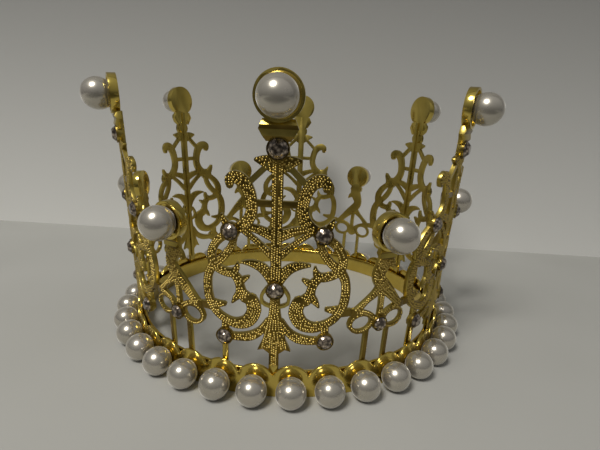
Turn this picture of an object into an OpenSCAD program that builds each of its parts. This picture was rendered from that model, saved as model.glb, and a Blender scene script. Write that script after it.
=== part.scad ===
// Round crown: tall and short filigree panels stand in a scalloped base ring,
// with pearls round the base and on every point, and paste stones in the panels.
// The front of the crown faces -Y. Each panel is drawn facing -Y and turned into place.

/* [Base ring] */
// Diameter of the circle through the centres of the base pearls
pearl_ring_d = 124.5; // [116:0.5:132]
// Diameter of a base pearl
base_pearl_d = 8.5; // [7.8:0.1:9]
// Wall of the scalloped band
band_t = 0.9; // [0.8:0.1:1.4]
// Height of a scallop's crest above its pearl
scallop_rise = 1.4; // [1.2:0.1:2]
// Flat on top of each scallop's crest, as a depth below its full arc
crest_cut = 0.05; // [0.03:0.01:0.1]
// Depth of the round seat that each base pearl has in the band
base_seat_depth = 0.35; // [0.2:0.05:0.45]
// Wall of the inner hoop
hoop_t = 0.9; // [0.7:0.1:1.4]
// Height of the inner hoop
hoop_h = 7; // [5.5:0.5:7.5]
// Thickness of the hoop's flange, which the panels stand on
flange_t = 1; // [0.8:0.1:1.6]

/* [Panels] */
// Thickness of the filigree panels
panel_t = 1.1; // [1:0.1:1.6]
// Outward lean of the panels in degrees
panel_lean = 3.4; // [2:0.1:5]
// Height of a tall point's pearl above the table
tall_tip_z = 81.8; // [76:0.2:88]
// Width of a tall panel across its lower scrolls
tall_w = 40; // [36:0.5:40.5]
// Height of a short point's pearl above the table
short_tip_z = 48.8; // [45:0.2:52]
// Width of a short panel across its rings
short_w = 20; // [18:0.5:20.5]
// Height of the bars that join neighbouring panels
link_z = 25.4; // [24.5:0.1:26.5]
// Height of those bars from edge to edge
link_h = 2.2; // [1.6:0.1:2.8]
// Direction of the joint between a tall panel and the next short one, in degrees
link_angle = 20.9; // [20.7:0.1:21.4]
// Width of a tall panel's middle foot
stem_foot_w = 2.3; // [1.8:0.1:2.6]
// Width of the slender feet
post_foot_w = 1.1; // [0.9:0.1:1.3]
// Width of the rib down the back of a tall panel
rib_w = 1.3; // [1:0.1:2]
// Height of that rib
rib_h = 0.7; // [0.4:0.1:1.2]
// Width of the clefts between strands that are cast closed
cleft = 0.5; // [0.3:0.1:0.8]

/* [Points] */
// Diameter of the pearls on the points
tip_pearl_d = 9.6; // [9:0.1:10.4]
// Diameter of the cups on the tall points
tall_cup_d = 11.9; // [11.4:0.1:13]
// Diameter of the cups on the short points
short_cup_d = 10.8; // [10.4:0.1:12]
// Height of the moulding under a tall point's cup
tall_collar_h = 5.2; // [4.6:0.1:6]
// Height of the moulding under a short point's cup
short_collar_h = 3.7; // [3.2:0.1:4.2]
// Depth of a cup from its back to its rim
cup_depth = 2.5; // [2.1:0.1:3]
// Floor of a cup behind the pearl
cup_floor = 0.6; // [0.5:0.05:0.9]
// Width of a cup's rim
cup_rim = 0.8; // [0.6:0.1:1]
// Depth of a cup's recess inside its rim
cup_recess = 1; // [0.6:0.1:1.3]
// Diameter of the pegs that hold the pearls
peg_d = 1.2; // [1:0.1:1.5]
// Length of a peg inside its pearl
peg_reach = 2.2; // [1.6:0.1:3]

/* [Stones] */
// Diameter of the stone below a tall point
top_stone_d = 5; // [4.4:0.1:5.4]
// Distance of that stone's middle below the moulding
top_stone_drop = 1.6; // [1.2:0.1:2.4]
// Diameter of the other stones in a tall panel
tall_stone_d = 4.4; // [4:0.1:4.6]
// Diameter of the stone in a short panel
short_stone_d = 4.1; // [3.7:0.1:4.4]
// Wall of the bezels round the stones
bezel_wall = 0.3; // [0.25:0.05:0.5]
// Height of the bezels above the panel
bezel_h = 0.8; // [0.7:0.1:1.1]

/* [Fits] */
// Gap on each side of a foot, and under it
foot_clear = 0.1; // [0.05:0.01:0.15]
// Gap round a pearl in its seat and on its peg
pearl_clear = 0.05; // [0.03:0.01:0.1]
// Gap round a stone in its bezel
stone_clear = 0.05; // [0.03:0.01:0.1]
// Gap between the joining bars of neighbouring panels
link_gap = 0.1; // [0.06:0.02:0.2]

/* [Hidden] */
panel_pairs = 6;
pair_angle = 360 / panel_pairs;
pearl_groups = 2 * panel_pairs;
pearls_each = 3;
base_pearl_count = pearls_each * pearl_groups;
pearl_angle = 360 / base_pearl_count;

function numbered(name, count) = [for (i = [1 : count]) str(name, "_", i)];

gold = "gold";
pearl_white = "ivory";
stone_grey = "lightsteelblue";

// Facets of round shapes, and how far a cutting shape runs past what it cuts
ring_facets = 180;
pearl_facets = 96;
stone_facets = 48;
peg_facets = 32;
strand_end_facets = 8;
cut_over = 1;

// Radii of the base, from the pearls inwards: band, channel for the feet, hoop
base_pearl_r = base_pearl_d / 2;
pearl_ring_r = pearl_ring_d / 2;
band_ro = pearl_ring_r - base_pearl_r + base_seat_depth;
band_ri = band_ro - band_t;
foot_ro = band_ri - foot_clear;
foot_ri = foot_ro - panel_t;
foot_mid_r = (foot_ro + foot_ri) / 2;
hoop_ro = foot_ri - foot_clear;
hoop_ri = hoop_ro - hoop_t;
flange_ro = band_ri - foot_clear;
scallop_r = base_pearl_r + scallop_rise;
crest_z = base_pearl_r + scallop_r - crest_cut;
scallop_flats = 5;
foot_z = flange_t + foot_clear;

// The panels lie on one round shell, which meets the feet at the shoulder and leans out above it
shoulder_rise = 1;
foot_lap = 1.5;
shoulder_z = hoop_h + shoulder_rise;
foot_top_z = shoulder_z + foot_lap;
panel_ri = foot_ri - foot_top_z * tan(panel_lean);
panel_ro = panel_ri + panel_t;
shell_flats = 9;
shell_step = 5;
shell_span = shell_flats * shell_step / 2;
rib_low = foot_top_z + rib_h;
peg_r = peg_d / 2;
tip_pearl_r = tip_pearl_d / 2;
tip_pearl_out = cup_floor + pearl_clear + tip_pearl_r;

// Stone proportions: crown above the girdle, girdle edge, pointed back below
stone_crown = 0.24;
stone_table = 0.55;
stone_girdle = 0.06;
stone_back = 0.26;

// The ornament is drawn at these sizes, as [across, up, width], and stretched to the sizes above
drawn_tall_w = 40;
drawn_tall_tip = 82;
drawn_short_w = 20;
drawn_short_tip = 48;
tall_across = tall_w / drawn_tall_w;
tall_up = tall_tip_z / drawn_tall_tip;
short_across = short_w / drawn_short_w;
short_up = short_tip_z / drawn_short_tip;
function tall_at(p) = [p[0] * tall_across, p[1] * tall_up, p[2]];
function short_at(p) = [p[0] * short_across, p[1] * short_up, p[2]];
function tall_path(points) = [for (p = points) tall_at(p)];
function short_path(points) = [for (p = points) short_at(p)];

// Tall panel, right half, from the top down
tall_leaf = tall_path([[0.6, 66, 4.4], [3.2, 66.8, 3], [5.3, 67.1, 1.1]]);
tall_top_brace = tall_path([[2.2, 66.2, 1.5], [7.2, 61.2, 1.5]]);
tall_scroll = tall_path([
    [12, 60.4, 2], [12, 61.8, 2.6], [10.6, 62.4, 3.3], [8.6, 61.6, 3.3], [7.1, 59.2, 3.1],
    [6.4, 56, 3], [6.5, 53.6, 3], [7.6, 51.2, 3.1], [9.8, 49.4, 2.8], [11.9, 48.4, 2.6]
]);
tall_bridge = tall_path([[0.6, 56.3, 1.7], [5.6, 56.3, 1.7]]);
tall_mid_leaf = tall_path([[8, 50, 1.8], [4.4, 49.3, 2.3], [0.6, 47.8, 3]]);
tall_mid_brace = tall_path([[8.6, 48.9, 1.6], [5, 46.2, 1.5], [1.2, 42.6, 1.9]]);
tall_horn = tall_path([[12.8, 49.6, 2.4], [13.8, 51.2, 1.6], [14.3, 52.4, 0.7]]);
tall_eye_outer = tall_path([
    [13.2, 47.2, 2.2], [15.8, 44.9, 2.3], [17.4, 41.6, 2.4], [17.1, 38, 2.5]
]);
tall_eye_inner = tall_path([
    [10.9, 47, 1.8], [11.9, 43.9, 2], [14.2, 40.6, 2.1], [17, 38, 2.4]
]);
tall_hook = tall_path([
    [17, 38, 2.4], [14.4, 36.8, 2.4], [11.8, 36.6, 2.4], [10.5, 37.8, 1.8], [10.2, 39.4, 0.8]
]);
tall_waist = tall_path([
    [11.8, 36.6, 2], [10.2, 35.2, 2.5], [9.5, 33.2, 2.4], [9.1, 31.2, 3], [7.8, 29.8, 3.4]
]);
tall_spur = tall_path([[9.6, 34.2, 2], [8.4, 35.2, 1.6], [7.2, 36, 0.8]]);
tall_fish_tail = tall_path([[9.2, 31, 2.6], [10.6, 29.6, 1.8], [11.6, 28, 0.7]]);
tall_low_scroll = tall_path([
    [17, 38, 2.4], [18.4, 35.2, 2.5], [18.8, 31.6, 2.6], [18.3, 27.6, 2.6], [16.6, 24.4, 2.3],
    [13.8, 22.4, 2.4], [10.4, 21.6, 3], [7.2, 23, 3.7], [5.6, 26.4, 4], [6.4, 29.4, 3.6]
]);
tall_low_spur = tall_path([[17.6, 26.6, 2.4], [15.6, 26.6, 1.9], [13.8, 27, 1.1]]);
tall_wing = tall_path([
    [8.8, 40, 0.7], [6.4, 40, 1.9], [3.6, 39, 2.7], [1.5, 36.6, 2.8], [0.4, 34, 2.4]
]);
tall_loop = tall_path([[2.2, 33.4, 0.9], [3.6, 31, 0.9], [3.2, 28.8, 0.9], [0.8, 27.8, 0.9]]);
tall_low_arc = tall_path([
    [1.8, 23.4, 1.8], [3.8, 20.2, 2.2], [6.6, 18.2, 2.6], [10.2, 17.4, 2.2], [13.8, 17.4, 2]
]);
tall_stone_tie = tall_path([[13.8, 17.4, 2.2], [13.7, 21.8, 2.2]]);

// Tall panel, middle line and one side
tall_collar_top = tall_tip_z - tall_cup_d / 2 + cup_rim;
tall_collar_low = tall_collar_top - tall_collar_h;
tall_collar_w = 9.6;
collar_swell = 0.9;
collar_foot = 0.62;
collar_head = 0.8;
collar_waist = 0.55;
stem_lap = 0.4;
tall_stem_w = 2.8;
tall_stem_top = [0, tall_collar_low + stem_lap, tall_stem_w];
tall_stem_low = tall_at([0, 33, tall_stem_w]);
tall_shank = 1.35;
tall_bell = [
    [1.3, 31], [1.6, 26], [2.5, 21], [3.2, 17.6], [4.6, 14.2], [3, 14.7], [tall_shank, 13.4]
];
tall_post = tall_at([-13.9, 17, 1.7]);
tall_top_stone = [0, tall_collar_low - top_stone_drop, 0];
tall_mid_stones = [for (x = [-11.9, 11.9]) tall_at([x, 48.4, 0])];
tall_heart_stone = tall_at([0, 33, 0]);
tall_low_stones = [for (x = [-13.8, 13.8]) tall_at([x, 17.4, 0])];
tall_small_stones = concat(tall_mid_stones, [tall_heart_stone], tall_low_stones);
// The joining bar starts on the lower scroll's middle line, on its way down the outer side
low_scroll_side = [for (k = [2 : 5]) [tall_low_scroll[k][1], tall_low_scroll[k][0]]];
tall_link_x = lookup(link_z, low_scroll_side);

// Short panel, whose neck bends over into a thick right arm and throws off a thin left one
short_collar_top = short_tip_z - short_cup_d / 2 + cup_rim;
short_collar_low = short_collar_top - short_collar_h;
short_collar_w = 5.9;
neck_lap = 0.5;
short_link_x = panel_ri * sin(pair_angle / 2 - link_angle) - link_h / 2 - link_gap;
short_neck = concat(
    [[0, short_collar_top - neck_lap, 4.6]],
    short_path([
        [0.2, 40.4, 4.8], [-0.7, 38.2, 4.5], [-1.6, 35.9, 3.8], [-1.2, 33.9, 3.9],
        [0.6, 31.8, 4.1], [2.8, 29.8, 3.5], [5, 27.6, 2.8]
    ]),
    [[short_link_x, link_z, link_h]]
);
short_leaf = short_path([[0.6, 39.6, 3.4], [2.4, 38.5, 2.2], [3.4, 37.4, 0.8]]);
short_left_arm = concat(
    short_path([[-0.5, 31.4, 3.2], [-2.5, 29.6, 2], [-4.8, 27.8, 1.5]]),
    [[-short_link_x, link_z, link_h]]
);
short_stem = short_path([[0.2, 31.6, 1.8], [0.5, 26, 1.5], [0.4, 21, 1.8]]);
short_stay = short_path([[7.6, 25.2, 1.4], [5, 24.6, 1.4], [2.6, 23.4, 1.6], [0.6, 21.6, 1.8]]);
short_ring_mid = short_at([5.6, 21.4, 1.2]);
short_ring_across = 3.5;
short_ring_up = 2.8;
short_ring_turn = 24;
short_ring = [for (a = [0 : short_ring_turn : 360 - short_ring_turn])
    short_ring_mid + [short_ring_across * cos(a), short_ring_up * sin(a), 0]];
short_posts = [for (x = [-3.5, 3.9]) short_at([x, 19, 1.3])];
short_stone = short_at([0.3, 20.7, 0]);

// Smooth curve through a path's points, in equal steps between each pair
curve_steps = 3;
function spline(a, b, c, d, t) =
    0.5 * (2 * b + (c - a) * t + (2 * a - 5 * b + 4 * c - d) * t ^ 2 + (3 * b - a - 3 * c + d) * t ^ 3);
function curve(path) =
    let (last = len(path) - 1)
    concat(
        [for (i = [0 : last - 1]) for (k = [0 : curve_steps - 1])
            spline(
                path[max(i - 1, 0)], path[i], path[i + 1], path[min(i + 2, last)], k / curve_steps
            )],
        [path[last]]
    );
function flat(p) = [p[0], p[1]];
function side_step(path, i) =
    let (
        run = flat(path[min(i + 1, len(path) - 1)]) - flat(path[max(i - 1, 0)]),
        across = [-run[1], run[0]] / norm(run)
    )
    across * path[i][2] / 2;

// One strand of filigree, which follows a path and takes its width from it
module strand(path) {
    line = curve(path);
    steps = [for (i = [0 : len(line) - 1]) i];
    back = [for (i = steps) len(line) - 1 - i];
    polygon(concat(
        [for (i = steps) flat(line[i]) + side_step(line, i)],
        [for (i = back) flat(line[i]) - side_step(line, i)]
    ));
    for (end = [line[0], line[len(line) - 1]])
        translate(flat(end)) circle(d = end[2], $fn = strand_end_facets);
}

// A closed ring of filigree
module ring_strand(path) {
    count = len(path);
    middle = [for (p = path) flat(p)];
    out = [for (i = [0 : count - 1])
        let (run = middle[(i + 1) % count] - middle[(i + count - 1) % count])
        [run[1], -run[0]] / norm(run) * path[i][2] / 2];
    difference() {
        polygon([for (i = [0 : count - 1]) middle[i] + out[i]]);
        polygon([for (i = [0 : count - 1]) middle[i] - out[i]]);
    }
}

module both_sides() {
    children();
    mirror([1, 0]) children();
}

// An upright bar of the outline, from the shoulder up to a point
module upright(top) {
    translate([top[0] - top[2] / 2, shoulder_z]) square([top[2], top[1] - shoulder_z]);
}

module boss_outline(place, d) {
    translate(flat(place)) circle(d = d + 2 * bezel_wall - 2 * cleft, $fn = peg_facets);
}

// Joins the strands into one outline and closes the thin clefts where they meet
module blended() {
    offset(delta = -cleft / 2) offset(delta = cleft / 2) children();
}

module tall_outline() {
    blended() {
        both_sides() {
            strand(tall_leaf);
            strand(tall_top_brace);
            strand(tall_scroll);
            strand(tall_bridge);
            strand(tall_mid_leaf);
            strand(tall_mid_brace);
            strand(tall_horn);
            strand(tall_eye_outer);
            strand(tall_eye_inner);
            strand(tall_hook);
            strand(tall_waist);
            strand(tall_spur);
            strand(tall_fish_tail);
            strand(tall_low_scroll);
            strand(tall_low_spur);
            strand(tall_wing);
            strand(tall_loop);
            strand(tall_low_arc);
            strand(tall_stone_tie);
        }
        strand([tall_stem_low, tall_stem_top]);
        both_sides() polygon(concat(
            [[0, shoulder_z], [0, tall_stem_low[1]]],
            [for (p = tall_bell) flat(tall_at([p[0], p[1], 0]))],
            [[tall_shank * tall_across, shoulder_z]]
        ));
        upright(tall_post);
        boss_outline(tall_top_stone, top_stone_d);
        for (place = tall_small_stones) boss_outline(place, tall_stone_d);
    }
}

module short_outline() {
    blended() {
        strand(short_neck);
        strand(short_leaf);
        strand(short_left_arm);
        both_sides() {
            strand(short_stay);
            ring_strand(short_ring);
        }
        strand(short_stem);
        for (post = short_posts) upright(post);
        boss_outline(short_stone, short_stone_d);
    }
}

// Turns an upright drawing to face -Y and keeps what lies within the shell, bent in even flats
module on_shell(height) {
    bends = [-shell_span : shell_step : shell_span];
    inner = [for (a = bends) panel_ri * [sin(a), -cos(a)]];
    outer = [for (a = bends) panel_ro * [sin(-a), -cos(a)]];
    intersection() {
        rotate([90, 0, 0]) linear_extrude(panel_ro + panel_t) children();
        linear_extrude(height) polygon(concat(inner, outer));
    }
}

// Leans a panel outwards about the foot of its shell
module leaned() {
    translate([0, -panel_ri, 0]) rotate([panel_lean, 0, 0]) translate([0, panel_ri, 0]) children();
}

// Puts a shape that points along +Z on the shell, at a place in the drawing, pointing outwards
module on_face(place, out) {
    rotate([0, 0, asin(place[0] / panel_ro)])
        translate([0, -panel_ri - out, place[1]]) rotate([90, 0, 0]) children();
}

// Half profile of a stone or its seat, with its girdle's lower edge at zero
module stone_profile(d, grow, crown) {
    r = d / 2 + grow;
    polygon([
        [0, -d * stone_back - grow], [r, 0], [r, d * stone_girdle],
        [crown ? d / 2 * stone_table : r, d * (stone_girdle + stone_crown)],
        [0, d * (stone_girdle + stone_crown)]
    ]);
}

module stone(place, d) {
    on_face(place, panel_t + bezel_h - d * stone_girdle)
        rotate_extrude($fn = stone_facets) stone_profile(d, 0, true);
}

module bezel(place, d) {
    on_face(place, panel_t / 2)
        cylinder(d = d + 2 * bezel_wall, h = panel_t / 2 + bezel_h, $fn = stone_facets);
}

module bezel_seat(place, d) {
    on_face(place, panel_t + bezel_h - d * stone_girdle)
        rotate_extrude($fn = stone_facets) stone_profile(d, stone_clear, false);
}

// Round cup behind a point's pearl, with its rim, seat and peg
module cup(d, tip_z) {
    place = [0, tip_z];
    difference() {
        on_face(place, 0) cylinder(d = d, h = cup_depth, $fn = pearl_facets);
        on_face(place, cup_depth - cup_recess)
            cylinder(d = d - 2 * cup_rim, h = cup_recess + cut_over, $fn = pearl_facets);
        on_face(place, tip_pearl_out) sphere(r = tip_pearl_r + pearl_clear, $fn = pearl_facets);
    }
    on_face(place, cup_floor / 2)
        cylinder(r = peg_r, h = cup_floor / 2 + pearl_clear + peg_reach, $fn = peg_facets);
}

// Pearl with the half-drilled hole that takes a peg, centred, with the hole towards -Z
module pearl(r) {
    difference() {
        sphere(r = r, $fn = pearl_facets);
        translate([0, 0, -r - cut_over])
            cylinder(
                r = peg_r + pearl_clear, h = cut_over + peg_reach + 2 * pearl_clear, $fn = peg_facets
            );
    }
}

// Moulding under a cup, pointed at the sides and ridged twice in front
module collar(width, low, top) {
    waist = low + (top - low) * collar_waist;
    ridge = (top - low) / 4;
    half = width / 2;
    intersection() {
        rotate([90, 0, 0]) linear_extrude(panel_ro + panel_t) polygon([
            [-half * collar_foot, low], [half * collar_foot, low], [half, waist],
            [half * collar_head, top], [-half * collar_head, top], [-half, waist]
        ]);
        translate([-width, 0, 0]) rotate([90, 0, 90]) linear_extrude(2 * width) polygon([
            [-panel_ri, low], [-panel_ro, low],
            [-panel_ro - collar_swell, low + ridge], [-panel_ro - collar_swell / 2, waist],
            [-panel_ro - collar_swell, top - ridge], [-panel_ro, top], [-panel_ri, top]
        ]);
    }
}

// Upright foot that stands on the hoop's flange, in the channel behind the band
module foot(across, width) {
    rotate([0, 0, asin(across / foot_mid_r)])
        translate([-width / 2, -foot_ro, foot_z])
            cube([width, panel_t, foot_top_z - foot_z]);
}

// Bar towards the next panel, cut at the plane where the two meet
module link(start, angle) {
    reach = panel_ro * sin(angle) + link_h - start;
    difference() {
        leaned() on_shell(link_z + link_h)
            translate([start, link_z - link_h / 2]) square([reach, link_h]);
        rotate([0, 0, angle]) translate([-link_gap / 2, -2 * panel_ro, 0])
            cube([panel_ro, 2 * panel_ro, 2 * link_z]);
    }
}

module both_links(start, angle) {
    link(start, angle);
    mirror([1, 0, 0]) link(start, angle);
}

module tall_panel(i) {
    color(gold) rotate([0, 0, (i - 1) * pair_angle]) {
        leaned() difference() {
            union() {
                on_shell(tall_tip_z) tall_outline();
                translate([-rib_w / 2, -panel_ri - panel_t / 2, rib_low])
                    cube([rib_w, panel_t / 2 + rib_h, tall_collar_top - rib_low]);
                collar(tall_collar_w, tall_collar_low, tall_collar_top);
                cup(tall_cup_d, tall_tip_z);
                bezel(tall_top_stone, top_stone_d);
                for (place = tall_small_stones) bezel(place, tall_stone_d);
            }
            bezel_seat(tall_top_stone, top_stone_d);
            for (place = tall_small_stones) bezel_seat(place, tall_stone_d);
        }
        foot(0, stem_foot_w);
        foot(tall_post[0], post_foot_w);
        both_links(tall_link_x, link_angle);
    }
}

module short_panel(i) {
    color(gold) rotate([0, 0, (i - 0.5) * pair_angle]) {
        leaned() difference() {
            union() {
                on_shell(short_tip_z) short_outline();
                collar(short_collar_w, short_collar_low, short_collar_top);
                cup(short_cup_d, short_tip_z);
                bezel(short_stone, short_stone_d);
            }
            bezel_seat(short_stone, short_stone_d);
        }
        for (post = short_posts) foot(post[0], post_foot_w);
        both_links(short_link_x, pair_angle / 2 - link_angle);
    }
}

module tip_pearl(turn, tip_z) {
    color(pearl_white) rotate([0, 0, turn]) leaned() on_face([0, tip_z], tip_pearl_out)
        pearl(tip_pearl_r);
}

module tall_stones(i) {
    color(stone_grey) rotate([0, 0, (i - 1) * pair_angle]) leaned() {
        stone(tall_top_stone, top_stone_d);
        for (place = tall_small_stones) stone(place, tall_stone_d);
    }
}

module short_stone_set(i) {
    color(stone_grey) rotate([0, 0, (i - 0.5) * pair_angle]) leaned()
        stone(short_stone, short_stone_d);
}

// Turns a shape that points along +Z to stand out from the band, at a base pearl's height
module at_base_pearl(k, r) {
    rotate([0, 0, (k + 0.5) * pearl_angle]) translate([0, -r, base_pearl_r]) rotate([90, 0, 0])
        children();
}

module base_pearls(i) {
    color(pearl_white) for (k = [0 : pearls_each - 1])
        at_base_pearl((i - 1) * pearls_each + k, pearl_ring_r) pearl(base_pearl_r);
}

// What is cut away between two scallops, which are arcs round their pearls in short flats.
// It ends just above each crest and just inside the band, so that no two cuts meet.
module scallop_notch() {
    half_pitch = band_ro * tan(pearl_angle / 2);
    valley_turn = asin(half_pitch / scallop_r);
    flat_turn = valley_turn / scallop_flats;
    full_arc = [for (k = [0 : scallop_flats])
        let (a = valley_turn - k * flat_turn)
        [scallop_r * sin(a) - half_pitch, base_pearl_r + scallop_r * cos(a)]];
    crest = full_arc[scallop_flats];
    last_flat = full_arc[scallop_flats - 1] - crest;
    edge = crest - last_flat * (crest_cut / 2 / last_flat[1]);
    translate([0, band_t / 2 - band_ri, 0]) rotate([90, 0, 0]) linear_extrude(2 * band_t) polygon(concat(
        [for (k = [0 : scallop_flats - 1]) full_arc[k]],
        [edge, [edge[0], 2 * crest_z], [-edge[0], 2 * crest_z], [-edge[0], edge[1]]],
        [for (k = [scallop_flats - 1 : -1 : 1]) [-full_arc[k][0], full_arc[k][1]]]
    ));
}

module scalloped_band() {
    peg_start = band_ri + band_t / 4;
    peg_end = pearl_ring_r - base_pearl_r + peg_reach;
    color(gold) {
        difference() {
            rotate([0, 0, pearl_angle / 4]) difference() {
                cylinder(r = band_ro, h = crest_z, $fn = ring_facets);
                translate([0, 0, -cut_over])
                    cylinder(r = band_ri, h = crest_z + 2 * cut_over, $fn = ring_facets);
            }
            for (k = [0 : base_pearl_count - 1]) rotate([0, 0, k * pearl_angle]) scallop_notch();
            for (k = [0 : base_pearl_count - 1])
                at_base_pearl(k, pearl_ring_r)
                    sphere(r = base_pearl_r + pearl_clear, $fn = pearl_facets);
        }
        for (k = [0 : base_pearl_count - 1])
            at_base_pearl(k, peg_start) cylinder(r = peg_r, h = peg_end - peg_start, $fn = peg_facets);
    }
}

module inner_hoop() {
    color(gold) rotate_extrude($fn = ring_facets) polygon([
        [hoop_ri, 0], [flange_ro, 0], [flange_ro, flange_t], [hoop_ro, flange_t],
        [hoop_ro, hoop_h], [hoop_ri, hoop_h]
    ]);
}

scalloped_band();
inner_hoop();
for (i = [1 : pearl_groups])
    base_pearls(i);
for (i = [1 : panel_pairs]) {
    tall_panel(i);
    short_panel(i);
    tip_pearl((i - 1) * pair_angle, tall_tip_z);
    tip_pearl((i - 0.5) * pair_angle, short_tip_z);
    tall_stones(i);
    short_stone_set(i);
}
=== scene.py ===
import math

import bpy
import numpy as np
from mathutils import Matrix, Vector


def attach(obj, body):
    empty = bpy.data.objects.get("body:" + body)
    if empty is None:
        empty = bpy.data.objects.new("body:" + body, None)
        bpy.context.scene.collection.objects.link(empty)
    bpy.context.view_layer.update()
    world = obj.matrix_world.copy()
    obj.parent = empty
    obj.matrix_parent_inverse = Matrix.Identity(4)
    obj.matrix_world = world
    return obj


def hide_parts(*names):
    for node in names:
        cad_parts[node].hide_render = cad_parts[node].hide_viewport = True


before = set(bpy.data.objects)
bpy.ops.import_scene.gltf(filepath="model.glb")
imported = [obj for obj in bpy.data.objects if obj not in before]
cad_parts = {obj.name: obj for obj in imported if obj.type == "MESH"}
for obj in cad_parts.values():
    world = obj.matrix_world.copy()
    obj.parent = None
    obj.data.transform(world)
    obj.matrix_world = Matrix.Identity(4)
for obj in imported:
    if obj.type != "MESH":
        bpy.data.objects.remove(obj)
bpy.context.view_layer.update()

MM = 0.001

# Sizes of the crown in millimetres, as in the part's source
PAIRS = 6
BASE_PEARLS = 36
PEARLS_IN_GROUP = 3
PEARL_RING_R = 62.25
BASE_PEARL_R = 4.25
TIP_PEARL_R = 4.8
PEARL_HOLE = 2.2
PEARL_GAP = 0.05
PEG_R = 0.6
PEG_L = 2.6
PEG_MIDDLE = 0.5
BAND_OUT = 58.35
BAND_IN = 57.45
BAND_RISES = (3.0, 2.2, 1.2)
BAND_EDGE_FROM = 6.0
BAND_SIDES = 20 * BASE_PEARLS
SCALLOP_R = 5.65
CREST_Z = 9.85
HOOP_IN = 55.25
HOOP_OUT = 56.15
HOOP_H = 7.0
HOOP_SIDES = 360
FLANGE_OUT = 57.35
FLANGE_T = 1.0
PANEL_T = 1.1
LEAN = math.radians(3.4)
LEAN_R = 56.25
LEAN_Z = 9.5
PANEL_IN = LEAN_R - LEAN_Z * math.tan(LEAN)
PANEL_OUT = PANEL_IN + PANEL_T
DRAWN_TALL_TIP = 82
DRAWN_SHORT_TIP = 48
TALL_TIP = 81.8
SHORT_TIP = 48.8
TALL_UP = TALL_TIP / DRAWN_TALL_TIP
SHORT_UP = SHORT_TIP / DRAWN_SHORT_TIP
TALL_POST_TOP = 14.0
SHORT_POST_TOP = 18.0
TALL_COLLAR_LOW = 71.45
SHORT_COLLAR_LOW = 40.5
TALL_COLLAR_TOP = 76.65
SHORT_COLLAR_TOP = 44.2
CUP_FLOOR = 0.6
TIP_PEARL_OUT = PANEL_IN + CUP_FLOOR + PEARL_GAP + TIP_PEARL_R
BEZEL_H = 0.8
BEZEL_WALL = 0.3
TOP_STONE_Z = 69.85
TOP_STONE_D = 5.0
TALL_STONE_D = 4.4
SHORT_STONE_D = 4.1

# Cut of a stone, as shares of its diameter or of the row below
STONE_SIDES = 14
STONE_GIRDLE = 0.06
STONE_BACK = 0.26
STONE_ROW_H = 0.08
STONE_ROWS = (0.88, 0.82, 0.76)

# Widths of the softened edges, in millimetres
BAND_BEVEL = 0.22
HOOP_BEVEL = 0.2
PEG_BEVEL = 0.12
CAST_BEVEL = 0.14

# Grains of the beaded fronts, in millimetres; their sizes are shares of the radius
GRAIN_R = 0.34
GRAIN_CUT = -0.02
GRAIN_SINK = 0.07
GRAIN_PITCH = 0.66
GRAIN_NEAREST = 0.86 * GRAIN_PITCH
GRAIN_MARGIN = 0.38
GRAIN_SHAKE = 0.05
GRAIN_SIZES = (0.8, 1.08)
GRAIN_CLEAR = 0.25
chance = np.random.default_rng(11)

# Smooth faces, which carry no grains, in millimetres
SMOOTH_MARGIN = 0.08
SMOOTH_RISE = 0.04
SMOOTH_SINK = 0.1

# Where a casting changes its finish: depths in millimetres, and how far a face turns out or down
BEZEL_FROM = 0.3
FRONT_DEPTH = 0.2
FRONT_FACING = 0.9
# The overhang limits pick the faces under the moulding that get painted shade
OVERHANG_FACING = 0.2
OVERHANG_DOWN = -0.1

# Stage, in metres, and the turn of its backdrop in degrees
CARD_SIZE = 1.6
WALL_BACK = 0.10
WALL_TURN = -1.5
# Height over which painted shade darkens the backdrop towards its top
WALL_SHADE_HEIGHT = 0.16
# Sheet of painted shadow on the floor in front, seen only in reflections
SHADOW_SHEET_SIZE = 0.7
SHADOW_SHEET_NEAR = -0.115
SHADOW_SHEET_EDGE = 0.085
SHADOW_SHEET_LIFT = 0.0005

# Camera, with its width and focal length in pixels, place in metres and turns in degrees
PHOTO_W = 600.0
FOCAL_PX = 416.0
SENSOR_W = 36.0
EYE = (0.00967, -0.15962, 0.07724)
EYE_TURN = 2.198
EYE_TILT = 75.33
EYE_ROLL = 2.479


def new_finish(name):
    finish = bpy.data.materials.new(name)
    finish.use_nodes = True
    nodes = finish.node_tree.nodes
    return finish, nodes, finish.node_tree.links, nodes["Principled BSDF"]


def grain_of(nodes, links, scale, detail):
    """Noise that is fixed to the piece."""
    place = nodes.new("ShaderNodeTexCoord")
    noise = nodes.new("ShaderNodeTexNoise")
    noise.inputs["Scale"].default_value = scale
    noise.inputs["Detail"].default_value = detail
    links.new(place.outputs["Object"], noise.inputs["Vector"])
    return noise.outputs["Fac"]


def tone(nodes, links, amount, stops):
    """Colour that goes through the stops as the amount grows."""
    ramp = nodes.new("ShaderNodeValToRGB")
    ends = ramp.color_ramp.elements
    while len(ends) < len(stops):
        ends.new(0.5)
    for end, (at, colour) in zip(ends, stops):
        end.position = at
        end.color = (*colour, 1)
    links.new(amount, ramp.inputs["Fac"])
    return ramp.outputs["Color"]


def spread(nodes, links, amount, low, high):
    """Noise stretched to a range of values."""
    change = nodes.new("ShaderNodeMapRange")
    change.inputs["From Min"].default_value = 0.3
    change.inputs["From Max"].default_value = 0.7
    change.inputs["To Min"].default_value = low
    change.inputs["To Max"].default_value = high
    links.new(amount, change.inputs["Value"])
    return change.outputs["Result"]


def relief(nodes, links, amount, strength, depth):
    """Fine relief, its depth in millimetres."""
    bump = nodes.new("ShaderNodeBump")
    bump.inputs["Strength"].default_value = strength
    bump.inputs["Distance"].default_value = depth * MM
    links.new(amount, bump.inputs["Height"])
    return bump.outputs["Normal"]


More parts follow.
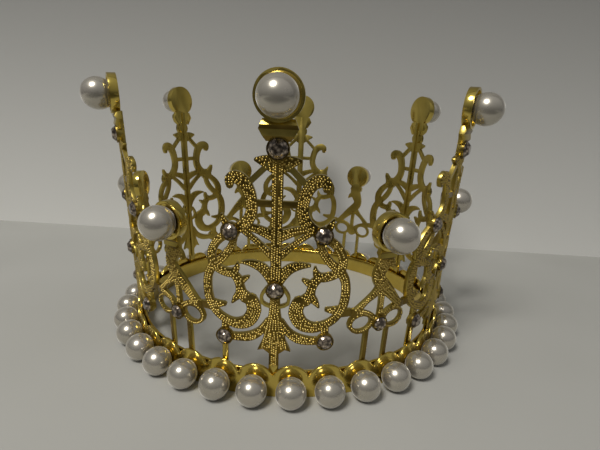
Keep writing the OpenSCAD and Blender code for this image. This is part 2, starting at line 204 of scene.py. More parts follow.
def gilt(name, dark, light, smooth, rough, pits):
    """Gilt metal: two tones of gold in soft clouds, uneven polish and a fine casting skin."""
    finish, nodes, links, surface = new_finish(name)
    surface.inputs["Metallic"].default_value = 1.0
    clouds = grain_of(nodes, links, scale=140, detail=3)
    skin = grain_of(nodes, links, scale=2600, detail=2)
    gold = tone(nodes, links, clouds, [(0.32, dark), (0.68, light)])
    links.new(gold, surface.inputs["Base Color"])
    links.new(spread(nodes, links, clouds, smooth, rough), surface.inputs["Roughness"])
    links.new(relief(nodes, links, skin, pits, depth=0.02), surface.inputs["Normal"])
    return finish


def pearl_lacquer():
    """Pearl lacquer: three near tones of grey ivory under a clear coat, with a pale sheen."""
    finish, nodes, links, surface = new_finish("pearl_lacquer")
    clouds = grain_of(nodes, links, scale=120, detail=1)
    skin = grain_of(nodes, links, scale=300, detail=1)
    ivory = tone(nodes, links, clouds, [
        (0.30, (0.47, 0.437, 0.365)), (0.5, (0.51, 0.476, 0.405)), (0.70, (0.54, 0.495, 0.43))
    ])
    links.new(ivory, surface.inputs["Base Color"])
    links.new(spread(nodes, links, skin, 0.23, 0.28), surface.inputs["Roughness"])
    surface.inputs["Metallic"].default_value = 0.78
    surface.inputs["Specular IOR Level"].default_value = 0.6
    surface.inputs["Sheen Weight"].default_value = 0.7
    surface.inputs["Sheen Roughness"].default_value = 0.35
    surface.inputs["Sheen Tint"].default_value = (1.0, 0.98, 0.94, 1.0)
    surface.inputs["Coat Weight"].default_value = 0.3
    surface.inputs["Coat Roughness"].default_value = 0.12
    return finish


def paste():
    """Paste stone over its mirrored back: warm grey, with painted sparkle in small lighter and
    darker patches.
    """
    finish, nodes, links, surface = new_finish("paste")
    place = nodes.new("ShaderNodeTexCoord")
    cells = nodes.new("ShaderNodeTexVoronoi")
    cells.inputs["Scale"].default_value = 1100
    links.new(place.outputs["Object"], cells.inputs["Vector"])
    # painted sparkle: bright cell middles and dark cell edges stand in for glints of the facets
    painted_sparkle = tone(nodes, links, cells.outputs["Distance"], [
        (0.14, (0.57, 0.475, 0.375)), (0.42, (0.26, 0.21, 0.16)), (0.68, (0.055, 0.042, 0.031))
    ])
    links.new(painted_sparkle, surface.inputs["Base Color"])
    surface.inputs["Metallic"].default_value = 0.75
    surface.inputs["Roughness"].default_value = 0.12
    surface.inputs["Coat Weight"].default_value = 0.5
    surface.inputs["Coat Roughness"].default_value = 0.05
    return finish


def make_matt(surface):
    surface.inputs["Roughness"].default_value = 0.85
    surface.inputs["Specular IOR Level"].default_value = 0.15


def along(nodes, links, axis, start, end):
    """Share of the way from start to end along an axis of the piece."""
    place = nodes.new("ShaderNodeTexCoord")
    parts = nodes.new("ShaderNodeSeparateXYZ")
    links.new(place.outputs["Object"], parts.inputs["Vector"])
    way = nodes.new("ShaderNodeMapRange")
    way.inputs["From Min"].default_value = start
    way.inputs["From Max"].default_value = end
    links.new(parts.outputs[axis], way.inputs["Value"])
    return way


def cross_fade(nodes, links, amount, low, high):
    """Output that goes from one shader to the other as the amount grows."""
    either = nodes.new("ShaderNodeMixShader")
    links.new(amount, either.inputs["Fac"])
    links.new(low.outputs["BSDF"], either.inputs[1])
    links.new(high.outputs["BSDF"], either.inputs[2])
    links.new(either.outputs["Shader"], nodes["Material Output"].inputs["Surface"])


def floor_card():
    """Pale floor card with faint clouds."""
    finish, nodes, links, surface = new_finish("floor_card")
    clouds = grain_of(nodes, links, scale=9, detail=2)
    pale = tone(nodes, links, clouds, [(0.3, (0.39, 0.39, 0.365)), (0.7, (0.43, 0.43, 0.405))])
    links.new(pale, surface.inputs["Base Color"])
    make_matt(surface)
    return finish


def painted_shade_wall_card():
    """Backdrop card with painted light falloff, darker towards its top, and clear when seen from
    behind.
    """
    finish, nodes, links, surface = new_finish("painted_shade_wall_card")
    height = along(nodes, links, "Z", 0.0, WALL_SHADE_HEIGHT).outputs["Result"]
    # painted light falloff: pale at the foot of the backdrop, dark at its top
    painted_falloff = tone(nodes, links, height, [
        (0.0, (0.66, 0.66, 0.635)), (1.0, (0.225, 0.225, 0.218))
    ])
    links.new(painted_falloff, surface.inputs["Base Color"])
    make_matt(surface)
    side = nodes.new("ShaderNodeNewGeometry")
    clear = nodes.new("ShaderNodeBsdfTransparent")
    cross_fade(nodes, links, side.outputs["Backfacing"], surface, clear)
    return finish


def shadow_reflection_card():
    """Painted shadow for reflections: a black sheet with a soft edge along its near side,
    standing in for the shaded floor in front.
    """
    finish, nodes, links, surface = new_finish("shadow_reflection_card")
    surface.inputs["Base Color"].default_value = (0.05, 0.05, 0.048, 1.0)
    make_matt(surface)
    edge = along(nodes, links, "Y", SHADOW_SHEET_NEAR, SHADOW_SHEET_NEAR - SHADOW_SHEET_EDGE)
    edge.interpolation_type = "SMOOTHSTEP"
    clear = nodes.new("ShaderNodeBsdfTransparent")
    cross_fade(nodes, links, edge.outputs["Result"], clear, surface)
    return finish


# Finishes: a gilt takes two tones, its finest and roughest polish, and its skin's relief
POLISHED = gilt("gilt_polished", (0.58, 0.44, 0.095), (0.68, 0.525, 0.13), 0.12, 0.21, 0.05)
SATIN = gilt("gilt_satin", (0.38, 0.29, 0.065), (0.54, 0.42, 0.105), 0.24, 0.38, 0.15)
# Ground gilt: dark patina with painted shade on the beaded front between the grains and on the
# bezels, and painted shade alone under the moulding where it hangs over
GROUND_PATINA_AND_SHADE = gilt("gilt_patina_and_painted_shade", (0.14, 0.094, 0.019), (0.25, 0.170, 0.035), 0.24, 0.40, 0.4)
GRAINS = gilt("gilt_grains", (0.46, 0.335, 0.082), (0.66, 0.495, 0.145), 0.26, 0.36, 0.1)
PEARL = pearl_lacquer()
PASTE = paste()
FLOOR = floor_card()
WALL = painted_shade_wall_card()
SHADOW_REFLECTION = shadow_reflection_card()


def clear_bench():
    """Leaves edit mode and deselects everything."""
    if bpy.context.object and bpy.context.object.mode != "OBJECT":
        bpy.ops.object.mode_set(mode="OBJECT")
    bpy.ops.object.select_all(action="DESELECT")


def take_up(piece):
    clear_bench()
    piece.select_set(True)
    bpy.context.view_layer.objects.active = piece


def edit(piece):
    take_up(piece)
    bpy.ops.object.mode_set(mode="EDIT")


def put_down():
    bpy.ops.object.mode_set(mode="OBJECT")


def pick(piece, kind, test):
    """Selects, in edit mode, the faces or points that pass a test on their middle and normal."""
    bpy.ops.mesh.select_mode(type="FACE" if kind == "polygons" else "VERT")
    bpy.ops.mesh.select_all(action="DESELECT")
    bpy.ops.object.mode_set(mode="OBJECT")
    for part in getattr(piece.data, kind):
        middle = part.center if kind == "polygons" else part.co
        part.select = bool(test(middle, part.normal))
    bpy.ops.object.mode_set(mode="EDIT")


def lift(height):
    """Extrudes what is selected upwards, in millimetres."""
    bpy.ops.mesh.extrude_region_move(TRANSFORM_OT_translate={"value": (0, 0, height * MM)})


def face_outwards():
    bpy.ops.mesh.select_all(action="SELECT")
    bpy.ops.mesh.normals_make_consistent(inside=False)


def apply_modifier(piece, kind, **settings):
    take_up(piece)
    step = piece.modifiers.new(kind.lower(), kind)
    for name, value in settings.items():
        setattr(step, name, value)
    bpy.ops.object.modifier_apply(modifier=step.name)


def soften(piece, width, angle=40):
    """Rounds the edges that turn by more than an angle."""
    apply_modifier(
        piece, "BEVEL", width=width * MM, segments=2, limit_method="ANGLE",
        angle_limit=math.radians(angle), use_clamp_overlap=True,
    )


def smooth_by(piece, angle):
    take_up(piece)
    bpy.ops.object.shade_smooth_by_angle(angle=math.radians(angle))


def finish_as(piece, *finishes):
    piece.data.materials.clear()
    for finish in finishes:
        piece.data.materials.append(finish)


def fresh(name):
    """The primitive just added, renamed, with its place in its mesh."""
    piece = bpy.context.object
    bpy.ops.object.transform_apply(location=True, rotation=True, scale=True)
    piece.name = name
    piece.data.name = name
    return piece


def copies(model, name, places):
    """Copies of a model, one at each place, joined as one piece."""
    made = []
    for place in places:
        mesh = model.data.copy()
        mesh.transform(place)
        one = bpy.data.objects.new(name, mesh)
        bpy.context.scene.collection.objects.link(one)
        made.append(one)
    clear_bench()
    for one in made:
        one.select_set(True)
    bpy.context.view_layer.objects.active = made[0]
    if len(made) > 1:
        bpy.ops.object.join()
    made[0].name = name
    made[0].data.name = name
    return made[0]


def discard(model):
    bpy.data.objects.remove(model)


def dress(piece, slot, *nodes):
    """Puts a finished piece on the crown in place of its solids."""
    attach(piece, "root")
    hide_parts(*nodes)


def turn(degrees):
    return Matrix.Rotation(math.radians(degrees), 4, "Z")


LEANED = (
    Matrix.Translation((0, -PANEL_IN * MM, 0))
    @ Matrix.Rotation(LEAN, 4, "X")
    @ Matrix.Translation((0, PANEL_IN * MM, 0))
)
OUTWARD = Matrix.Rotation(math.radians(90), 4, "X")


def on_shell(across, up, out):
    """Place on a leaning panel, with +Z pointing outwards; out is the reach from the axis."""
    return (
        LEANED
        @ turn(math.degrees(math.asin(across / PANEL_OUT)))
        @ Matrix.Translation((0, -out * MM, up * MM))
        @ OUTWARD
    )


def drilled_pearl(radius, depth):
    """A round bead with the half-drilled hole that takes its peg, towards -Z."""
    clear_bench()
    bpy.ops.mesh.primitive_uv_sphere_add(segments=48, ring_count=26, radius=radius * MM)
    pearl = fresh("pearl_model")
    pole, rim = -0.999 * radius * MM, -0.99 * radius * MM
    edit(pearl)
    pick(pearl, "vertices", lambda at, _: at.z < pole)
    bpy.ops.mesh.delete(type="VERT")
    pick(pearl, "vertices", lambda at, _: at.z < rim)
    lift(depth)
    bpy.ops.mesh.edge_face_add()
    face_outwards()
    put_down()
    smooth_by(pearl, 50)
    finish_as(pearl, PEARL)
    return pearl


def set_base_pearls():
    model = drilled_pearl(BASE_PEARL_R, PEARL_HOLE)
    step = 360 / BASE_PEARLS
    for group in range(BASE_PEARLS // PEARLS_IN_GROUP):
        places = [
            turn((group * PEARLS_IN_GROUP + k + 0.5) * step)
            @ Matrix.Translation((0, -PEARL_RING_R * MM, BASE_PEARL_R * MM))
            @ OUTWARD
            for k in range(PEARLS_IN_GROUP)
        ]
        name = f"base_pearls_{group + 1}"
        dress(copies(model, "strung_" + name, places), "pearl", name)
    discard(model)


def set_tip_pearls():
    model = drilled_pearl(TIP_PEARL_R, PEARL_HOLE)
    for pair in range(PAIRS):
        for kind, tip, half in (("tall", TALL_TIP, 0), ("short", SHORT_TIP, 0.5)):
            place = turn((pair + half) * 360 / PAIRS) @ on_shell(0, tip, TIP_PEARL_OUT)
            name = f"{kind}_pearl_{pair + 1}"
            dress(copies(model, "set_" + name, [place]), "pearl", name)
    discard(model)


def scallop_top(angle):
    """Height of the band's edge: arcs round each pearl."""
    step = 2 * math.pi / BASE_PEARLS
    off = angle % step - step / 2
    across = BAND_OUT * math.tan(off)
    return min(BASE_PEARL_R + math.sqrt(SCALLOP_R ** 2 - across ** 2), CREST_Z)


def pearl_pegs():
    """The pegs of the base pearls, as one piece."""
    clear_bench()
    bpy.ops.mesh.primitive_cylinder_add(vertices=14, radius=PEG_R * MM, depth=PEG_L * MM)
    peg = fresh("peg_model")
    soften(peg, PEG_BEVEL)
    smooth_by(peg, 40)
    finish_as(peg, POLISHED)
    step = 360 / BASE_PEARLS
    foot = Matrix.Translation((0, -(BAND_OUT + PEG_MIDDLE) * MM, BASE_PEARL_R * MM))
    pegs = copies(peg, "pearl_pegs", [
        turn((k + 0.5) * step) @ foot @ OUTWARD for k in range(BASE_PEARLS)
    ])
    discard(peg)
    return pegs


def make_band():
    clear_bench()
    middle = (BAND_OUT + BAND_IN) / 2
    bpy.ops.mesh.primitive_circle_add(vertices=BAND_SIDES, radius=middle * MM)
    band = fresh("scalloped_band_wall")
    edit(band)
    for rise in BAND_RISES:
        lift(rise)
    put_down()
    for point in band.data.vertices:
        if point.co.z > BAND_EDGE_FROM * MM:
            point.co.z = scallop_top(math.atan2(point.co.x, -point.co.y)) * MM
    edit(band)
    face_outwards()
    put_down()
    apply_modifier(
        band, "SOLIDIFY", thickness=(BAND_OUT - BAND_IN) * MM, offset=0, use_even_offset=True
    )
    soften(band, BAND_BEVEL, 60)
    smooth_by(band, 50)
    finish_as(band, POLISHED)
    pegs = pearl_pegs()
    take_up(band)
    pegs.select_set(True)
    bpy.ops.object.join()
    dress(band, "gold", "scalloped_band")


def make_hoop():
    clear_bench()
    bpy.ops.mesh.primitive_circle_add(vertices=HOOP_SIDES, radius=HOOP_IN * MM)
    hoop = fresh("inner_hoop_ring")
    edit(hoop)
    profile = [
        (FLANGE_OUT, 0), (FLANGE_OUT, FLANGE_T), (HOOP_OUT, FLANGE_T),
        (HOOP_OUT, HOOP_H), (HOOP_IN, HOOP_H),
    ]
    radius, height = HOOP_IN, 0
    for wide, high in profile:
        grow = wide / radius
        lift(high - height)
        bpy.ops.transform.resize(value=(grow, grow, 1), center_override=(0, 0, high * MM))
        radius, height = wide, high
    lift(-height)
    bpy.ops.mesh.select_all(action="SELECT")
    bpy.ops.mesh.remove_doubles(threshold=0.01 * MM)
    bpy.ops.mesh.normals_make_consistent(inside=False)
    put_down()
    soften(hoop, HOOP_BEVEL, 60)
    smooth_by(hoop, 50)
    finish_as(hoop, POLISHED)
    dress(hoop, "gold", "inner_hoop")


def cut_stone(d):
    """Round stone: pointed back, thin girdle, rows of turned facets and a flat table."""
    clear_bench()
    girdle = d * STONE_GIRDLE
    bpy.ops.mesh.primitive_cylinder_add(
        vertices=STONE_SIDES, radius=d / 2 * MM, depth=girdle * MM,
        location=(0, 0, girdle / 2 * MM),
    )
    stone = fresh("stone_model")
    edit(stone)
    pick(stone, "polygons", lambda at, out: out.z > 0.9)
    height = girdle
    rise = STONE_ROW_H * d
    half_side = math.radians(180 / STONE_SIDES)
    for shrink in STONE_ROWS:
        height += rise
        middle = (0, 0, height * MM)
        lift(rise)
        bpy.ops.transform.resize(value=(shrink, shrink, 1), center_override=middle)
        bpy.ops.transform.rotate(value=half_side, orient_axis="Z", center_override=middle)
    pick(stone, "polygons", lambda at, out: out.z < -0.9)
    lift(-STONE_BACK * d)
    bpy.ops.mesh.merge(type="CENTER")
    pick(stone, "polygons", lambda at, out: out.z < 0.99)
    bpy.ops.mesh.quads_convert_to_tris(quad_method="SHORTEST_DIAGONAL")
    face_outwards()
    put_down()
    finish_as(stone, PASTE)
    return stone


# Places of the stones on the panels as drawn, across and up
TALL_STONES = [(-11.9, 48.4), (11.9, 48.4), (0, 33), (-13.8, 17.4), (13.8, 17.4)]
SHORT_STONE = (0.3, 20.7)


def stone_seat(across, up, d):
    """Place of a stone whose girdle is level with its bezel's edge."""
    return on_shell(across, up, PANEL_IN + PANEL_T + BEZEL_H - d * STONE_GIRDLE)


def set_stones():
    top = cut_stone(TOP_STONE_D)
    small = cut_stone(TALL_STONE_D)
    low = cut_stone(SHORT_STONE_D)
    for pair in range(PAIRS):
        facing = turn(pair * 360 / PAIRS)
        between = turn((pair + 0.5) * 360 / PAIRS)
        crest = copies(top, "crest_stone", [facing @ stone_seat(0, TOP_STONE_Z, TOP_STONE_D)])
        rest = copies(small, f"cut_tall_stones_{pair + 1}", [
            facing @ stone_seat(x, z * TALL_UP, TALL_STONE_D) for x, z in TALL_STONES
        ])
        take_up(rest)
        crest.select_set(True)
        bpy.ops.object.join()
        dress(rest, "stone", f"tall_stones_{pair + 1}")
        one = copies(low, f"cut_short_stone_{pair + 1}", [
            between @ stone_seat(SHORT_STONE[0], SHORT_STONE[1] * SHORT_UP, SHORT_STONE_D)
        ])
        dress(one, "stone", f"short_stone_{pair + 1}")
    for model in (top, small, low):
        discard(model)


# Middle lines of the strands, as [across, up, width]; all are mirrored but MIDDLE and SINGLE
TALL_MIRRORED = [
    [[0.6, 66, 4.4], [3.2, 66.8, 3], [5.3, 67.1, 1.1]],
    [[12, 60.4, 2], [12, 61.8, 2.6], [10.6, 62.4, 3.3], [8.6, 61.6, 3.3], [7.1, 59.2, 3.1],
     [6.4, 56, 3], [6.5, 53.6, 3], [7.6, 51.2, 3.1], [9.8, 49.4, 2.8], [11.9, 48.4, 2.6]],
    [[17, 38, 2.4], [18.4, 35.2, 2.5], [18.8, 31.6, 2.6], [18.3, 27.6, 2.6], [16.6, 24.4, 2.3],
     [13.8, 22.4, 2.4], [10.4, 21.6, 3], [7.2, 23, 3.7], [5.6, 26.4, 4], [6.4, 29.4, 3.6]],
    [[13.2, 47.2, 2.2], [15.8, 44.9, 2.3], [17.4, 41.6, 2.4], [17.1, 38, 2.5]],
    [[10.9, 47, 1.8], [11.9, 43.9, 2], [14.2, 40.6, 2.1], [17, 38, 2.4]],
    [[17, 38, 2.4], [14.4, 36.8, 2.4], [11.8, 36.6, 2.4], [10.5, 37.8, 1.8], [10.2, 39.4, 0.8]],
    [[11.8, 36.6, 2], [10.2, 35.2, 2.5], [9.5, 33.2, 2.4], [9.1, 31.2, 3], [7.8, 29.8, 3.4]],
    [[8.8, 40, 0.7], [6.4, 40, 1.9], [3.6, 39, 2.7], [1.5, 36.6, 2.8], [0.4, 34, 2.4]],
    [[1.8, 23.4, 1.8], [3.8, 20.2, 2.2], [6.6, 18.2, 2.6], [10.2, 17.4, 2.2], [13.8, 17.4, 2]],
    [[8, 50, 1.8], [4.4, 49.3, 2.3], [0.6, 47.8, 3]],
    [[8.6, 48.9, 1.6], [5, 46.2, 1.5], [1.2, 42.6, 1.9]],
    [[12.8, 49.6, 2.4], [13.8, 51.2, 1.6], [14.3, 52.4, 0.7]],
    [[9.6, 34.2, 2], [8.4, 35.2, 1.6], [7.2, 36, 0.8]],
    [[9.2, 31, 2.6], [10.6, 29.6, 1.8], [11.6, 28, 0.7]],
    [[17.6, 26.6, 2.4], [15.6, 26.6, 1.9], [13.8, 27, 1.1]],
    [[13.8, 17.4, 2.2], [13.7, 21.8, 2.2]],
]
TALL_STEM_SIDE = [[0.78, 45, 1.3], [0.78, 58, 1.3], [0.78, 72, 1.3]]
TALL_MIDDLE = [
    [[0, 33, 2.8], [0, 39, 2.8], [0, 45, 2.8]],
    [[0, 31, 2.6], [0, 26, 3.2], [0, 21, 5], [0, 17.6, 6.4], [0, 15, 7.4]],
    [[0, 15, 2.1], [0, 12, 1.9], [0, 9.2, 1.9]],
]
TALL_SMOOTH = [
    [[2.2, 66.2, 1.5], [7.2, 61.2, 1.5]],
    [[2.2, 33.4, 0.9], [3.6, 31, 0.9], [3.2, 28.8, 0.9], [0.8, 27.8, 0.9]],
]
SHORT_MIRRORED = [
    [[7.6, 25.2, 1.4], [5, 24.6, 1.4], [2.6, 23.4, 1.6], [0.6, 21.6, 1.8]],
    [[5.6 + 3.5 * math.cos(math.radians(a)), 21.4 + 2.8 * math.sin(math.radians(a)), 1.2]
     for a in range(0, 361, 24)],
]
SHORT_SINGLE = [
    [[0.2, 40.4, 4.8], [-0.7, 38.2, 4.5], [-1.6, 35.9, 3.8], [-1.2, 33.9, 3.9], [0.6, 31.8, 4.1],
     [2.8, 29.8, 3.5], [5, 27.6, 2.8], [7.6, 25, 2.2]],
    [[0.6, 39.6, 3.4], [2.4, 38.5, 2.2], [3.4, 37.4, 0.8]],
    [[-0.5, 31.4, 3.2], [-2.5, 29.6, 2], [-4.8, 27.8, 1.5], [-7.6, 25, 2.2]],
    [[0.2, 31.6, 1.8], [0.5, 26, 1.5], [0.4, 21, 1.8]],
]


def fair_line(points, steps):
    """Smooth curve through a strand's points."""
    p = np.array(points, float)
    made = []
    for i in range(len(p) - 1):
        a, b, c, d = p[max(i - 1, 0)], p[i], p[i + 1], p[min(i + 2, len(p) - 1)]
        for t in np.linspace(0, 1, steps, endpoint=False):
            made.append(0.5 * (2 * b + (c - a) * t + (2 * a - 5 * b + 4 * c - d) * t ** 2
                               + (3 * b - a - 3 * c + d) * t ** 3))
    made.append(p[-1])
    return np.array(made)


def direction(line):
    """Unit steps along a curve."""
    run = np.gradient(line[:, :2], axis=0)
    return run / np.linalg.norm(run, axis=1)[:, None]


def grain_places(strands, stones):
    """Places and sizes of the grains: uneven rows along each strand, clear of the bezels."""
    kept = {}
    places = []

    def free(x, z):
        cell = (math.floor(x), math.floor(z))
        for i in (-1, 0, 1):
            for j in (-1, 0, 1):
                for u, w in kept.get((cell[0] + i, cell[1] + j), ()):
                    if math.hypot(u - x, w - z) < GRAIN_NEAREST:
                        return False
        return all(math.hypot(x - sx, z - sz) > r for sx, sz, r in stones)

    for strand in strands:
        line = fair_line(strand, steps=16)
        run = direction(line)
        steps = np.linalg.norm(np.diff(line[:, :2], axis=0), axis=1)
        length = np.concatenate([[0], np.cumsum(steps)])
        widest = line[:, 2].max() - 2 * GRAIN_MARGIN
        rows = max(1, int(round(widest / GRAIN_PITCH)) + 1) if widest > 0.5 * GRAIN_PITCH else 1
        for row in range(rows):
            share = row / (rows - 1) - 0.5 if rows > 1 else 0
            start = GRAIN_PITCH / 2 * (row % 2)
            for mark in np.arange(start, length[-1], GRAIN_PITCH):
                at = mark + chance.normal(0, GRAIN_SHAKE)
                aside = chance.normal(0, GRAIN_SHAKE)
                size = chance.uniform(*GRAIN_SIZES)
                x, z, width = (np.interp(at, length, line[:, k]) for k in range(3))
                rx, rz = (np.interp(at, length, run[:, k]) for k in range(2))
                room = max(width - 2 * GRAIN_MARGIN, 0)
                off = min(max(share * room + aside, -room / 2), room / 2)
                x, z = x - rz * off, z + rx * off
                if free(x, z):
                    kept.setdefault((math.floor(x), math.floor(z)), []).append((x, z))
                    places.append((x, z, size))
    return np.array(places)


def grain_model():
    """A small dome with a closed foot."""
    clear_bench()
    bpy.ops.mesh.primitive_uv_sphere_add(segments=7, ring_count=4, radius=GRAIN_R * MM)
    grain = fresh("grain_model")
    edit(grain)
    bpy.ops.mesh.select_all(action="SELECT")
    bpy.ops.mesh.bisect(
        plane_co=(0, 0, GRAIN_CUT * MM), plane_no=(0, 0, 1), clear_inner=True, use_fill=True
    )
    put_down()
    return grain


def leaning_piece(name, corners, faces):
    """New piece from corners and faces on the upright shell, leaned with it."""
    mesh = bpy.data.meshes.new(name)
    mesh.from_pydata(corners, [], faces)
    mesh.transform(LEANED)
    piece = bpy.data.objects.new(name, mesh)
    bpy.context.scene.collection.objects.link(piece)
    return piece


def strew(model, places, name):
    """One mesh of all the grains of a panel, each standing on the face of the leaning shell."""
    points = np.array([tuple(v.co) for v in model.data.vertices])
    faces = [tuple(f.vertices) for f in model.data.polygons]
    x, z, size = places[:, 0] * MM, places[:, 1] * MM, places[:, 2, None, None]
    out = PANEL_OUT * MM
    normal = np.stack([x / out, -np.sqrt(out ** 2 - x ** 2) / out, np.zeros_like(x)], axis=1)
    side = np.stack([-normal[:, 1], normal[:, 0], np.zeros_like(x)], axis=1)
    foot = normal * (out - GRAIN_SINK * MM)
    foot[:, 2] = z
    spots = (
        foot[:, None, :]
        + side[:, None, :] * points[None, :, 0:1] * size
        + np.array([0, 0, 1.0]) * points[None, :, 1:2] * size
        + normal[:, None, :] * points[None, :, 2:3] * size
    ).reshape(-1, 3)
    count = len(points)
    rings = [tuple(i + k * count for i in face) for k in range(len(places)) for face in faces]
    piece = leaning_piece(name, spots.tolist(), rings)
    smooth_by(piece, 80)
    finish_as(piece, GRAINS)
    return piece


def smooth_faces(strands, name):
    """Thin faces of the strands that carry no grains, let into the face of the shell."""
    corners, faces = [], []
    for strand in strands:
        line = fair_line(strand, steps=6)
        first, last = len(corners), len(line) - 1
        for (x, z, width), (rx, rz) in zip(line, direction(line)):
            half = width / 2 - SMOOTH_MARGIN
            section = (
                (half, SMOOTH_RISE), (-half, SMOOTH_RISE),
                (-half, -SMOOTH_SINK), (half, -SMOOTH_SINK),
            )
            for aside, out in section:
                across = x - rz * aside
                reach = PANEL_OUT + out
                depth = math.sqrt(reach ** 2 - across ** 2)
                corners.append((across * MM, -depth * MM, (z + rx * aside) * MM))
        for k in range(last):
            a, b = first + 4 * k, first + 4 * (k + 1)
            for side in range(4):
                turned = (side + 1) % 4
                faces.append((a + side, b + side, b + turned, a + turned))
        faces.append(tuple(first + side for side in range(4)))
        faces.append(tuple(first + 4 * last + side for side in (3, 2, 1, 0)))
    piece = leaning_piece(name, corners, faces)
    edit(piece)
    face_outwards()
    put_down()
    smooth_by(piece, 30)
    finish_as(piece, SATIN)
    return piece


UPRIGHT = LEANED.inverted()


def cast_body(node, facing, post_top, collar_low, collar_top):
    """The casting, turned to the front, each part of it in its finish.

    Cup and posts are polished, bezels and beaded front are dark patina with painted shade, and
    the rest is satin.
    The moulding below the cup is satin too, with painted shade where it hangs over."""
    satin, patina_and_shade, polished = range(3)
    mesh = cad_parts[node].data.copy()
    mesh.transform(turn(-facing))
    body = bpy.data.objects.new(node + "_front", mesh)
    bpy.context.scene.collection.objects.link(body)
    edit(body)
    bpy.ops.mesh.select_all(action="SELECT")
    bpy.ops.mesh.remove_doubles(threshold=0.002 * MM)
    bpy.ops.mesh.dissolve_limited(angle_limit=math.radians(0.6))
    put_down()
    finish_as(body, SATIN, GROUND_PATINA_AND_SHADE, POLISHED, GRAINS)
    soften(body, CAST_BEVEL, 50)
    for face in body.data.polygons:
        at = UPRIGHT @ face.center
        out = UPRIGHT.to_3x3() @ face.normal
        reach = math.hypot(at.x, at.y)
        facing_out = (out.x * at.x + out.y * at.y) / reach
        on_bezel = reach > (PANEL_OUT + BEZEL_FROM) * MM
        on_front = facing_out > FRONT_FACING and reach > (PANEL_OUT - FRONT_DEPTH) * MM
        shaded_overhang = facing_out > OVERHANG_FACING and out.z < OVERHANG_DOWN
        if at.z > collar_top * MM or at.z < post_top * MM:
            face.material_index = polished
        elif at.z > collar_low * MM:
            # painted shade: the moulding's faces that hang over take the dark gilt
            face.material_index = patina_and_shade if shaded_overhang else satin
        else:
            # dark patina with painted shade on the bezels and on the beaded front between the
            # grains
            face.material_index = patina_and_shade if on_bezel or on_front else satin
    smooth_by(body, 35)
    return body


def both_ways(strands):
    return strands + [[[-x, z, w] for x, z, w in strand] for strand in strands]


def raised(strands, up):
    return [[[x, z * up, w] for x, z, w in strand] for strand in strands]


def bezel_room(d):
    """Distance that the grains keep from the middle of a stone."""
    return d / 2 + BEZEL_WALL + GRAIN_CLEAR


def make_panels():
    grain = grain_model()
    tall_stones = [(x, z * TALL_UP, bezel_room(TALL_STONE_D)) for x, z in TALL_STONES]
    tall_stones.append((0, TOP_STONE_Z, bezel_room(TOP_STONE_D)))
    short_stones = [(SHORT_STONE[0], SHORT_STONE[1] * SHORT_UP, bezel_room(SHORT_STONE_D))]
    kinds = (
        (
            "tall", raised(TALL_MIDDLE + both_ways([TALL_STEM_SIDE] + TALL_MIRRORED), TALL_UP),
            tall_stones, (TALL_POST_TOP, TALL_COLLAR_LOW, TALL_COLLAR_TOP), 0,
        ),
        (
            "short", raised(SHORT_SINGLE + both_ways(SHORT_MIRRORED), SHORT_UP),
            short_stones, (SHORT_POST_TOP, SHORT_COLLAR_LOW, SHORT_COLLAR_TOP), 0.5,
        ),
    )
    for kind, strands, stones, heights, half in kinds:
        dressings = [strew(grain, grain_places(strands, stones), f"{kind}_grains")]
        body = cast_body(f"{kind}_panel_1", half * 360 / PAIRS, *heights)
        if kind == "tall":
            dressings.append(smooth_faces(raised(both_ways(TALL_SMOOTH), TALL_UP), "tall_braces"))
        take_up(body)
        for dressing in dressings:
            dressing.select_set(True)
        bpy.ops.object.join()
        for pair in range(PAIRS):
            name = f"{kind}_panel_{pair + 1}"
            piece = copies(body, f"filigree_{name}", [turn((pair + half) * 360 / PAIRS)])
            dress(piece, "gold", name)
        discard(body)
    discard(grain)


def set_stage():
    clear_bench()
    bpy.ops.mesh.primitive_plane_add(size=CARD_SIZE)
    floor = fresh("floor")
    finish_as(floor, FLOOR)
    clear_bench()
    bpy.ops.mesh.primitive_plane_add(size=CARD_SIZE)
    wall = fresh("backdrop")
    wall.data.transform(
        turn(WALL_TURN) @ Matrix.Translation((0, WALL_BACK, CARD_SIZE / 2)) @ OUTWARD
    )
    finish_as(wall, WALL)


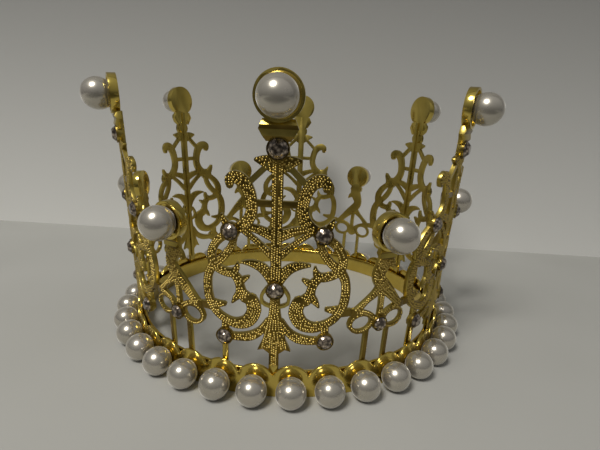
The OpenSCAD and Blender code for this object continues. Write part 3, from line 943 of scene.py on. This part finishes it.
def set_shadow_reflection():
    """A black sheet of painted shadow lies on the floor in front of the crown, and only the gloss
    of other surfaces shows it, as a painted dark reflection.
    """
    clear_bench()
    bpy.ops.mesh.primitive_plane_add(size=SHADOW_SHEET_SIZE)
    shadow_sheet = fresh("shadow_sheet")
    shadow_sheet.data.transform(Matrix.Translation((0, SHADOW_SHEET_NEAR - SHADOW_SHEET_SIZE / 2, SHADOW_SHEET_LIFT)))
    finish_as(shadow_sheet, SHADOW_REFLECTION)
    shadow_sheet.visible_camera = False
    shadow_sheet.visible_diffuse = False
    shadow_sheet.visible_shadow = False


def aim(thing, target):
    thing.rotation_euler = (Vector(target) - thing.location).to_track_quat("-Z", "Y").to_euler()


def set_light():
    """One soft lamp from the upper left, in a grey room that is lighter above."""
    key = bpy.data.lights.new("key", "AREA")
    key.shape = "DISK"
    key.size = 0.30
    key.energy = 6.5
    key.color = (1.0, 0.97, 0.92)
    lamp = bpy.data.objects.new("key", key)
    lamp.location = (-0.27, -0.50, 0.80)
    bpy.context.scene.collection.objects.link(lamp)
    aim(lamp, (0, 0, 0.03))
    world = bpy.data.worlds.new("room")
    bpy.context.scene.world = world
    world.use_nodes = True
    nodes, links = world.node_tree.nodes, world.node_tree.links
    place = nodes.new("ShaderNodeTexCoord")
    parts = nodes.new("ShaderNodeSeparateXYZ")
    links.new(place.outputs["Generated"], parts.inputs["Vector"])
    sky = tone(nodes, links, parts.outputs["Z"], [
        (0.0, (0.07, 0.07, 0.07)), (0.3, (0.20, 0.20, 0.20)), (1.0, (0.36, 0.36, 0.36))
    ])
    links.new(sky, nodes["Background"].inputs["Color"])


def set_camera():
    camera = bpy.data.cameras.new("camera")
    camera.sensor_fit = "HORIZONTAL"
    camera.sensor_width = SENSOR_W
    camera.lens = SENSOR_W * FOCAL_PX / PHOTO_W
    camera.clip_start = 0.005
    eye = bpy.data.objects.new("camera", camera)
    eye.matrix_world = (
        Matrix.Translation(EYE)
        @ turn(EYE_TURN)
        @ Matrix.Rotation(math.radians(EYE_TILT), 4, "X")
        @ turn(EYE_ROLL)
    )
    bpy.context.scene.collection.objects.link(eye)
    bpy.context.scene.camera = eye


set_camera()
set_base_pearls()
set_tip_pearls()
make_band()
make_hoop()
set_stones()
make_panels()
set_stage()
set_shadow_reflection()
set_light()
bpy.context.scene.view_settings.view_transform = "Standard"
